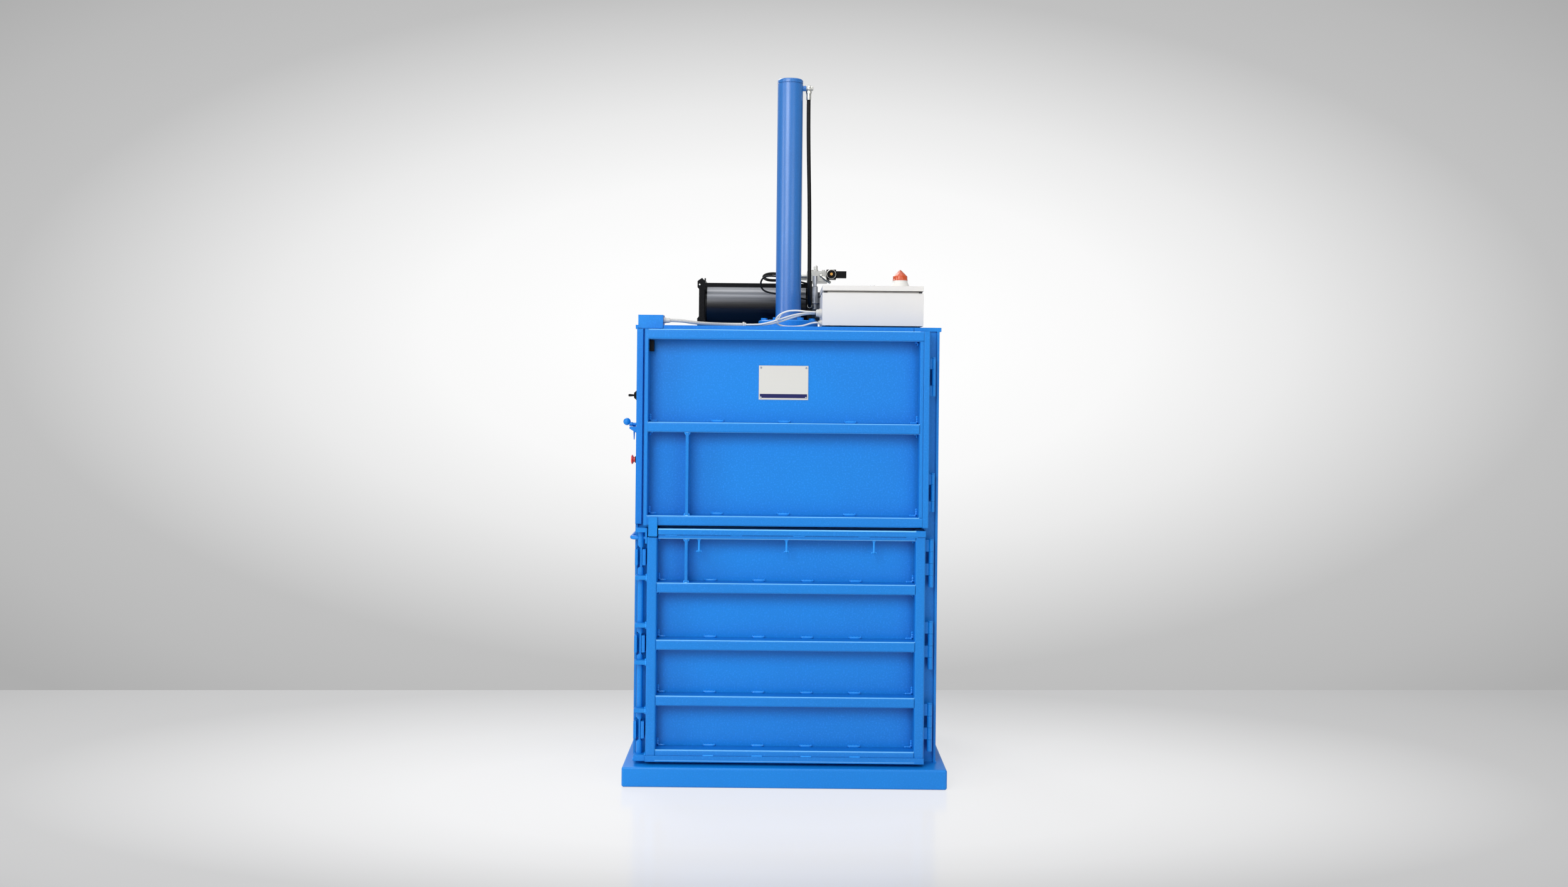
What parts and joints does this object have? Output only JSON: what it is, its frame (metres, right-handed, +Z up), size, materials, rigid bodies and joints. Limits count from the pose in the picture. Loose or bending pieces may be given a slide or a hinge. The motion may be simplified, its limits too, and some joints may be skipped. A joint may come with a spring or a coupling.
{
  "type": "recycling baler",
  "caption": "Vertical recycling baler: ribbed chamber doors with a rotary bolt lock, hydraulic ram, power unit, control box and beacon on top.",
  "frame": {"origin": "centre of the plinth's underside, on the floor", "axes": "+Z up; the doors face -Y; +X to the right as seen from the front"},
  "size_m": [1.313, 1, 2.922],
  "materials": {
    "blue_paint": "gloss, slight orange peel",
    "handle_steel": "satin",
    "zinc_steel": "zinc plated",
    "rod_chrome": "polished",
    "tank_paint": "satin",
    "motor_grey": "painted",
    "block_alloy": "machined",
    "box_paint": "fine texture",
    "black_plastic": "matt",
    "grey_plastic": "matt",
    "filter_alloy": "satin",
    "lock_chrome": "polished",
    "hose_rubber": "matt",
    "lens_amber": "clear amber",
    "stop_red": "gloss",
    "plate_alloy": "satin"
  },
  "bodies": {
    "machine": {"plinth_tray": "blue_paint", "plinth_bearers": "blue_paint", "corner_posts": "blue_paint", "wall_rails": "blue_paint", "side_walls": "blue_paint", "rear_wall": "blue_paint", "chamber_floor": "blue_paint", "top_plate": "blue_paint", "top_beams": "blue_paint", "corner_caps": "blue_paint", "wiring_duct": "blue_paint", "duct_cover": "blue_paint", "cable_glands": "grey_plastic", "conduit": "grey_plastic", "control_cables": "grey_plastic", "lock_keepers": "blue_paint", "frame_hinges": "blue_paint", "cylinder_barrel": "blue_paint", "cylinder_cap": "blue_paint", "cylinder_flange": "blue_paint", "flange_bolts": "zinc_steel", "hose_fittings": "zinc_steel", "pressure_hose": "hose_rubber", "oil_tank": "tank_paint", "tank_bracket": "blue_paint", "valve_manifold": "block_alloy", "pump_motor": "motor_grey", "solenoid": "black_plastic", "relief_cartridge": "zinc_steel", "line_filter": "filter_alloy", "hose_loops": "hose_rubber", "control_box": "box_paint", "box_feet": "hose_rubber", "joystick_base": "black_plastic", "stop_collar": "black_plastic", "bolt_bracket": "blue_paint"},
    "box_lid": {"box_lid": "box_paint", "beacon_base": "black_plastic", "beacon_lens": "lens_amber"},
    "lid_lock": {"lid_lock": "lock_chrome"},
    "joystick": {"joystick_lever": "black_plastic"},
    "stop_button": {"stop_button": "stop_red"},
    "latch_bolt": {"latch_bolt": "handle_steel"},
    "drop_pin": {"drop_pin": "handle_steel"},
    "ram": {"press_plate": "blue_paint", "piston_rod": "rod_chrome"},
    "upper_door": {"upper_door_frame": "blue_paint", "upper_door_skin": "blue_paint", "interlock_tab": "blue_paint", "maker_plate": "plate_alloy", "door_switch": "black_plastic", "latch_striker": "blue_paint", "upper_door_hinges": "blue_paint"},
    "lower_door": {"lower_door_frame": "blue_paint", "lower_door_skin": "blue_paint", "lock_lugs": "blue_paint", "strap_hooks": "handle_steel", "lower_door_hinges": "blue_paint"},
    "lock_shaft": {"lock_shaft": "blue_paint", "lock_handle": "handle_steel"}
  },
  "joints": [
    {"name": "upper_door_hinge", "type": "hinge", "parent": "machine", "child": "upper_door", "pos_m": [0.585, -0.42, 1.4], "axis": [0, 0, 1], "range_deg": [0, 115]},
    {"name": "lower_door_hinge", "type": "hinge", "parent": "machine", "child": "lower_door", "pos_m": [0.581, -0.42, 0.55], "axis": [0, 0, 1], "range_deg": [0, 115]},
    {"name": "lock_shaft_turn", "type": "hinge", "parent": "lower_door", "child": "lock_shaft", "pos_m": [-0.584, -0.42, 0.55], "axis": [0, 0, 1], "range_deg": [0, 90]},
    {"name": "latch_bolt_slide", "type": "slide", "parent": "machine", "child": "latch_bolt", "axis": [1, 0, 0], "range_m": [0, 0.018]},
    {"name": "drop_pin_lift", "type": "slide", "parent": "machine", "child": "drop_pin", "axis": [0, 0, 1], "range_m": [0, 0.014]},
    {"name": "joystick_tilt", "type": "hinge", "parent": "machine", "child": "joystick", "pos_m": [-0.6175, -0.345, 1.55], "axis": [0, 1, 0], "range_deg": [-18, 18], "stiffness_Nm_per_rad": 0.2},
    {"name": "stop_button_push", "type": "slide", "parent": "machine", "child": "stop_button", "axis": [1, 0, 0], "range_m": [0, 0.004]},
    {"name": "ram_slide", "type": "slide", "parent": "machine", "child": "ram", "axis": [0, 0, -1], "range_m": [0, 0.9]},
    {"name": "box_lid_hinge", "type": "hinge", "parent": "machine", "child": "box_lid", "pos_m": [0.3445, 0.105, 1.9863], "axis": [-1, 0, 0], "range_deg": [0, 100]},
    {"name": "lid_lock_turn", "type": "hinge", "parent": "box_lid", "child": "lid_lock", "pos_m": [0.344, -0.288, 2], "axis": [0, 0, -1], "range_deg": [0, 90]}
  ]
}
